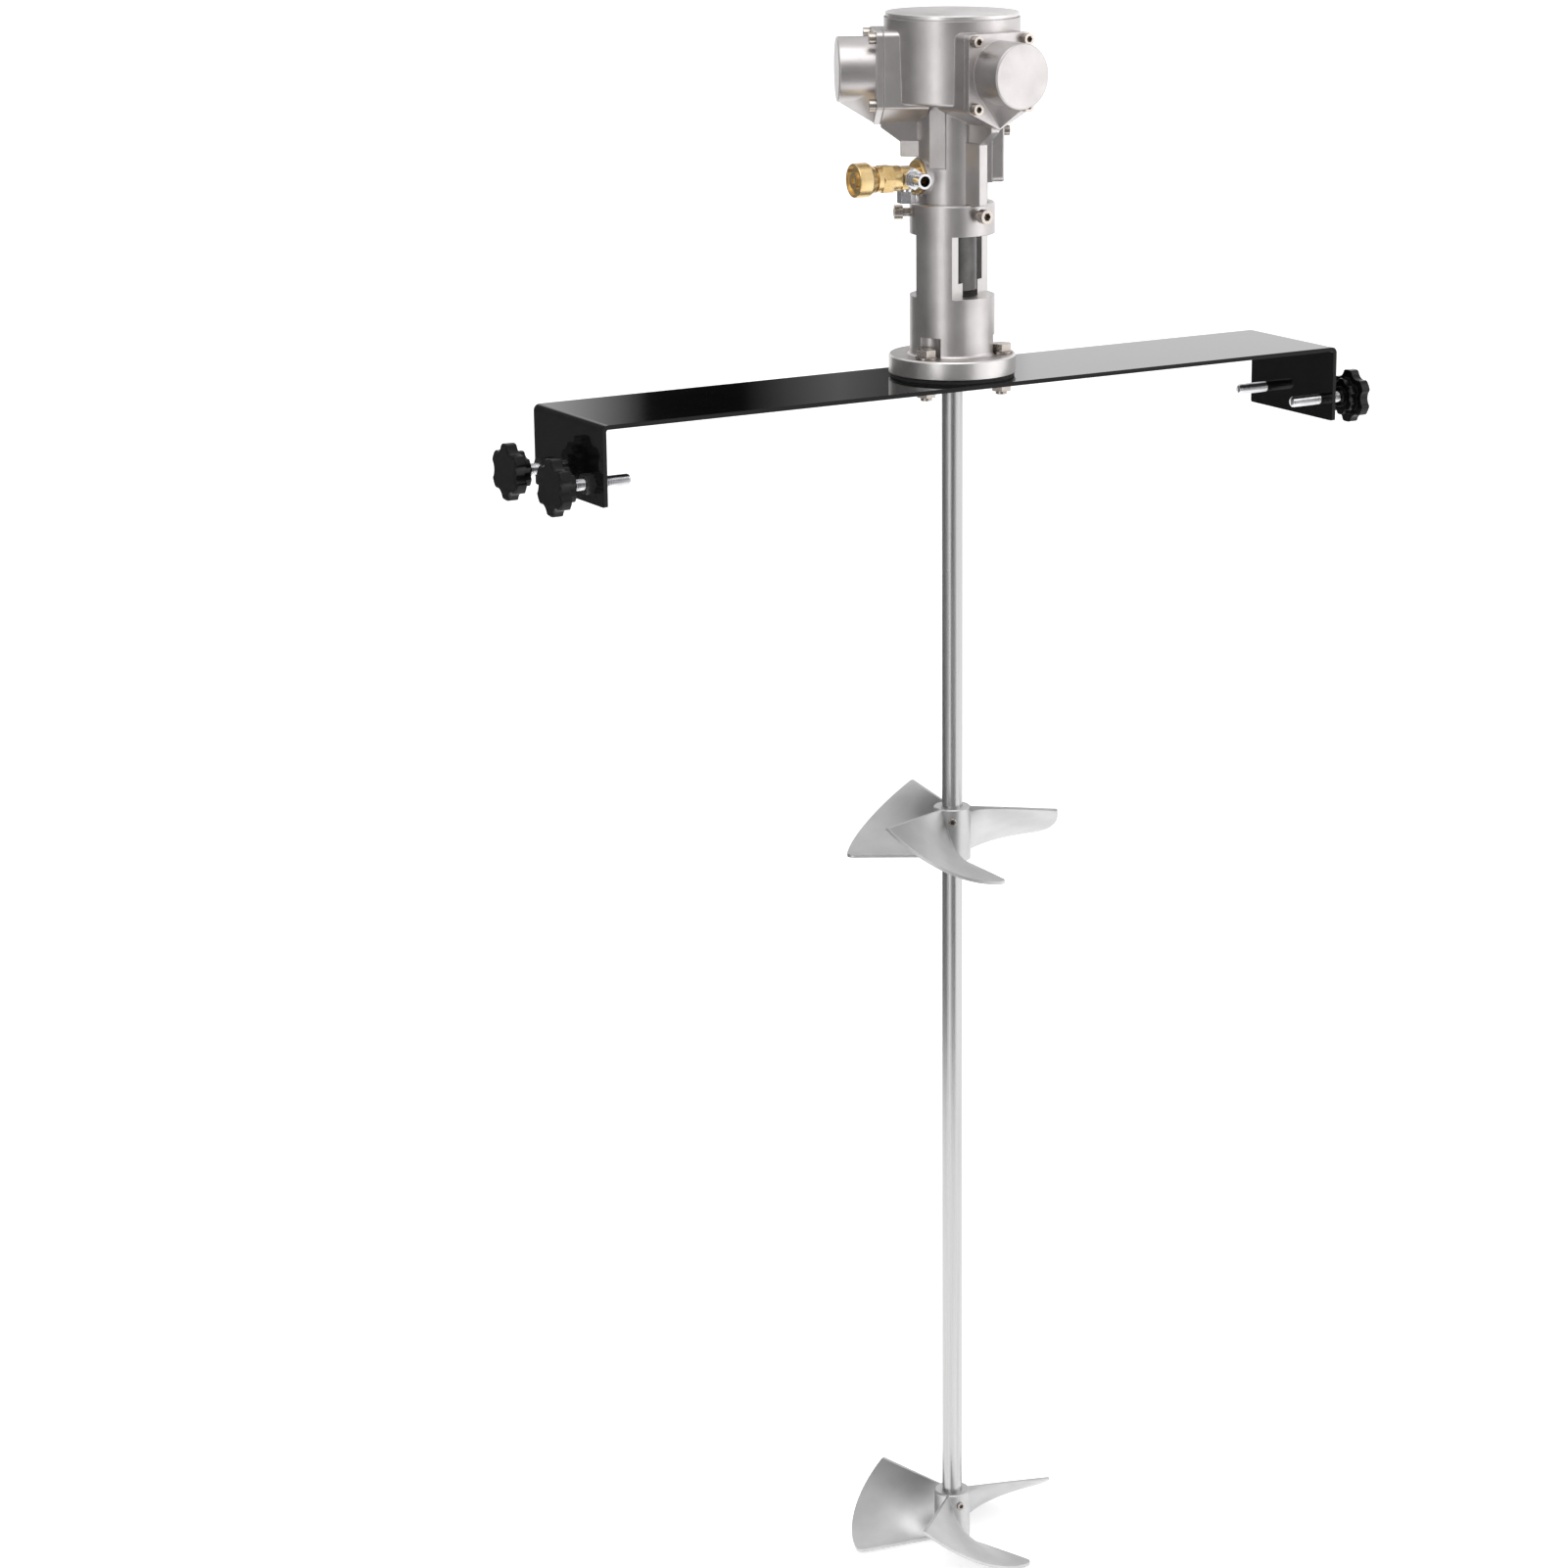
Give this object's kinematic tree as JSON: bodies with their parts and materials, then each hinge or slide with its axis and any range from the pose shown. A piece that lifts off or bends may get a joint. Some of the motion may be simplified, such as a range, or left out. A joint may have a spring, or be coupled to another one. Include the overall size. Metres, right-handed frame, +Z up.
{
  "type": "tank agitator",
  "caption": "Clamp-on drum mixer: a radial piston air motor on a lantern housing, bolted to a folded crossbar, turns a long shaft with bladed impellers.",
  "frame": {"origin": "on the shaft axis at the underside of the crossbar's plate, the face that rests on the drum's rim", "axes": "+Z up along the shaft axis towards the motor, +X along the crossbar"},
  "size_m": [0.674, 0.1588, 1.155],
  "materials": {
    "black_paint": "gloss",
    "cast_aluminium": "satin",
    "rubber": "matte",
    "gasket_paper": "matte",
    "bolt_steel": "satin",
    "bearing_steel": "polished",
    "piston_aluminium": "satin",
    "bronze": "satin",
    "brass": "satin",
    "chrome": "polished",
    "dark_steel": "satin",
    "stainless": "brushed",
    "cast_stainless": "satin",
    "black_plastic": "gloss"
  },
  "bodies": {
    "frame": {"crossbar": "black_paint", "clamp_weld_nuts": "black_paint", "base_gasket": "rubber", "lantern": "cast_aluminium", "base_bolts": "bolt_steel", "base_washers": "bolt_steel", "base_nuts": "bolt_steel", "collar_screws": "bolt_steel", "shaft_bearing_outer_rings": "bearing_steel", "crank_bearing_outer_rings": "bearing_steel", "bearing_spacer": "bearing_steel", "retaining_ring": "bolt_steel", "shaft_seal": "rubber", "crank_seal": "rubber", "crankcase": "cast_aluminium", "case_cover": "cast_aluminium", "cover_seal": "rubber", "head_gaskets": "gasket_paper", "head_screws": "bolt_steel", "cylinder_head_1": "cast_aluminium", "cylinder_head_2": "cast_aluminium", "cylinder_head_3": "cast_aluminium", "piston_1": "piston_aluminium", "piston_2": "piston_aluminium", "piston_3": "piston_aluminium", "connecting_rod_1": "bearing_steel", "connecting_rod_2": "bearing_steel", "connecting_rod_3": "bearing_steel", "cylinder_liners": "bearing_steel", "piston_rings": "bearing_steel", "gudgeon_pins": "bearing_steel", "valve_sleeve": "bronze", "valve_body": "brass", "air_plug": "chrome", "blind_plug": "chrome", "exhaust_cover": "cast_aluminium", "exhaust_screws": "bolt_steel"},
    "rotor": {"agitator_shaft": "stainless", "crankshaft": "bearing_steel", "crank_ring": "bearing_steel", "rotary_valve": "bearing_steel", "crank_bearing_inner_rings": "bearing_steel", "shaft_bearing_inner_rings": "bearing_steel", "drive_coupling": "dark_steel", "coupling_screws": "bolt_steel", "upper_impeller": "cast_stainless", "lower_impeller": "cast_stainless", "impeller_screws": "bolt_steel"},
    "ball_sets": {"bearing_balls": "bearing_steel"},
    "clamp_screw_left_front": {"clamp_screw_left_front": "chrome"},
    "clamp_knob_left_front": {"clamp_knob_left_front": "black_plastic"},
    "clamp_screw_left_back": {"clamp_screw_left_back": "chrome"},
    "clamp_knob_left_back": {"clamp_knob_left_back": "black_plastic"},
    "clamp_screw_right_front": {"clamp_screw_right_front": "chrome"},
    "clamp_knob_right_front": {"clamp_knob_right_front": "black_plastic"},
    "clamp_screw_right_back": {"clamp_screw_right_back": "chrome"},
    "clamp_knob_right_back": {"clamp_knob_right_back": "black_plastic"},
    "valve_needle": {"valve_needle": "brass"},
    "valve_knob": {"valve_knob": "brass"}
  },
  "joints": [
    {"name": "rotor_spin", "type": "hinge", "parent": "frame", "child": "rotor", "pos_m": [0, 0, 0.05], "axis": [0, 0, 1], "continuous": true},
    {"name": "ball_roll", "type": "hinge", "parent": "frame", "child": "ball_sets", "pos_m": [0, 0, 0.05], "axis": [0, 0, 1], "continuous": true},
    {"name": "clamp_travel_left_front", "type": "slide", "parent": "frame", "child": "clamp_screw_left_front", "axis": [1, 0, 0], "range_m": [-0.025, 0.0082]},
    {"name": "clamp_turn_left_front", "type": "hinge", "parent": "clamp_screw_left_front", "child": "clamp_knob_left_front", "pos_m": [-0.33, -0.033, -0.038], "axis": [1, 0, 0], "range_deg": [-7202, 2363]},
    {"name": "clamp_travel_left_back", "type": "slide", "parent": "frame", "child": "clamp_screw_left_back", "axis": [1, 0, 0], "range_m": [-0.025, 0.0082]},
    {"name": "clamp_turn_left_back", "type": "hinge", "parent": "clamp_screw_left_back", "child": "clamp_knob_left_back", "pos_m": [-0.33, 0.033, -0.038], "axis": [1, 0, 0], "range_deg": [-7202, 2363]},
    {"name": "clamp_travel_right_front", "type": "slide", "parent": "frame", "child": "clamp_screw_right_front", "axis": [-1, 0, 0], "range_m": [-0.025, 0.0082]},
    {"name": "clamp_turn_right_front", "type": "hinge", "parent": "clamp_screw_right_front", "child": "clamp_knob_right_front", "pos_m": [0.33, -0.033, -0.038], "axis": [-1, 0, 0], "range_deg": [-7202, 2363]},
    {"name": "clamp_travel_right_back", "type": "slide", "parent": "frame", "child": "clamp_screw_right_back", "axis": [-1, 0, 0], "range_m": [-0.025, 0.0082]},
    {"name": "clamp_turn_right_back", "type": "hinge", "parent": "clamp_screw_right_back", "child": "clamp_knob_right_back", "pos_m": [0.33, 0.033, -0.038], "axis": [-1, 0, 0], "range_deg": [-7202, 2363]},
    {"name": "valve_travel", "type": "slide", "parent": "frame", "child": "valve_needle", "axis": [-0.9968, 0.0802, 0], "range_m": [0, 0.004]},
    {"name": "valve_turn", "type": "hinge", "parent": "valve_needle", "child": "valve_knob", "pos_m": [-0.05981, 0.00481, 0.1435], "axis": [-0.9968, 0.0802, 0], "range_deg": [0, 1441]}
  ],
  "couplings": [
    {"joint": "ball_roll", "follows": "rotor_spin", "ratio": 0.38},
    {"joint": "clamp_turn_left_front", "follows": "clamp_travel_left_front", "rad_per_m": 5026.5},
    {"joint": "clamp_turn_left_back", "follows": "clamp_travel_left_back", "rad_per_m": 5026.5},
    {"joint": "clamp_turn_right_front", "follows": "clamp_travel_right_front", "rad_per_m": 5026.5},
    {"joint": "clamp_turn_right_back", "follows": "clamp_travel_right_back", "rad_per_m": 5026.5},
    {"joint": "valve_turn", "follows": "valve_travel", "rad_per_m": 6283.2}
  ]
}
